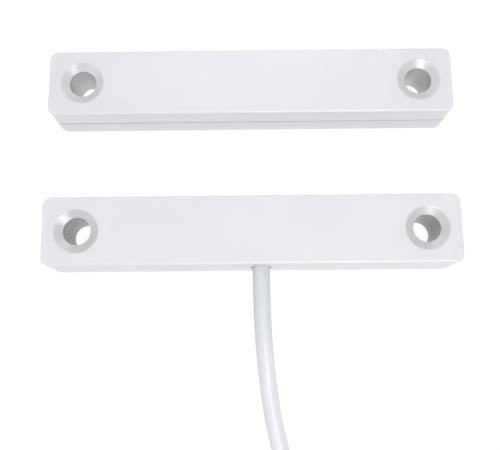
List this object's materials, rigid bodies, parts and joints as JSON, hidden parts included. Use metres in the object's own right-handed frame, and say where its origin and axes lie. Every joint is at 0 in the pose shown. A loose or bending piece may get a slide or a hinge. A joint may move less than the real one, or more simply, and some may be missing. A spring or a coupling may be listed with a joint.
{
  "type": "door contact sensor",
  "caption": "Surface mounted magnetic door contact: a slim switch bar with a reed switch and a lead, and a matching magnet bar, each with countersunk screw holes.",
  "frame": {"origin": "centre of the switch unit's mounting face", "axes": "+X along both bars, +Y from the switch unit towards the magnet unit (away from the cable), +Z out of the mounting surface"},
  "size_m": [0.0724, 0.1223, 0.0114],
  "materials": {
    "white_plastic": "satin moulded",
    "cable_jacket": "satin extruded",
    "board": "satin",
    "copper": "polished",
    "solder": "bright",
    "glass": "clear",
    "reed_metal": "bright",
    "clamp_plastic": "matte",
    "core_white": "satin",
    "core_yellow": "satin",
    "core_green": "satin",
    "core_brown": "satin",
    "tinned_wire": "tinned",
    "tie_plastic": "matte",
    "ferrite": "matte",
    "foam": "open cell"
  },
  "bodies": {
    "switch_unit": {"switch_cover": "white_plastic", "switch_base": "white_plastic", "circuit_board": "board", "board_pads": "copper", "solder_joints": "solder", "reed_glass": "glass", "reed_lead_left": "reed_metal", "reed_lead_right": "reed_metal", "cable_clamp": "clamp_plastic", "core_white": "core_white", "core_yellow": "core_yellow", "core_green": "core_green", "core_brown": "core_brown", "core_ends": "tinned_wire", "cable": "cable_jacket", "cable_coil": "cable_jacket", "coil_tie": "tie_plastic", "cable_end": "cable_jacket", "tail_white": "core_white", "tail_yellow": "core_yellow", "tail_green": "core_green", "tail_brown": "core_brown", "tail_tips": "tinned_wire"},
    "reed_left": {"reed_blade_left": "reed_metal"},
    "reed_right": {"reed_blade_right": "reed_metal"},
    "magnet_unit": {"magnet_cover": "white_plastic", "magnet_base": "white_plastic", "bar_magnet": "ferrite", "magnet_pad": "foam"}
  },
  "joints": [
    {"name": "magnet_travel", "type": "slide", "parent": "switch_unit", "child": "magnet_unit", "axis": [0, 1, 0], "range_m": [-0.0117, 0.025]},
    {"name": "reed_left_bend", "type": "hinge", "parent": "switch_unit", "child": "reed_left", "pos_m": [-0.0053, 0.00225, 0.00375], "axis": [0, 0, 1], "range_deg": [0, 0.5], "stiffness_Nm_per_rad": 0.0002},
    {"name": "reed_right_bend", "type": "hinge", "parent": "switch_unit", "child": "reed_right", "pos_m": [0.0053, 0.00255, 0.00375], "axis": [0, 0, 1], "range_deg": [0, 0.5], "stiffness_Nm_per_rad": 0.0002}
  ],
  "couplings": [
    {"joint": "reed_right_bend", "follows": "reed_left_bend", "ratio": 1}
  ]
}
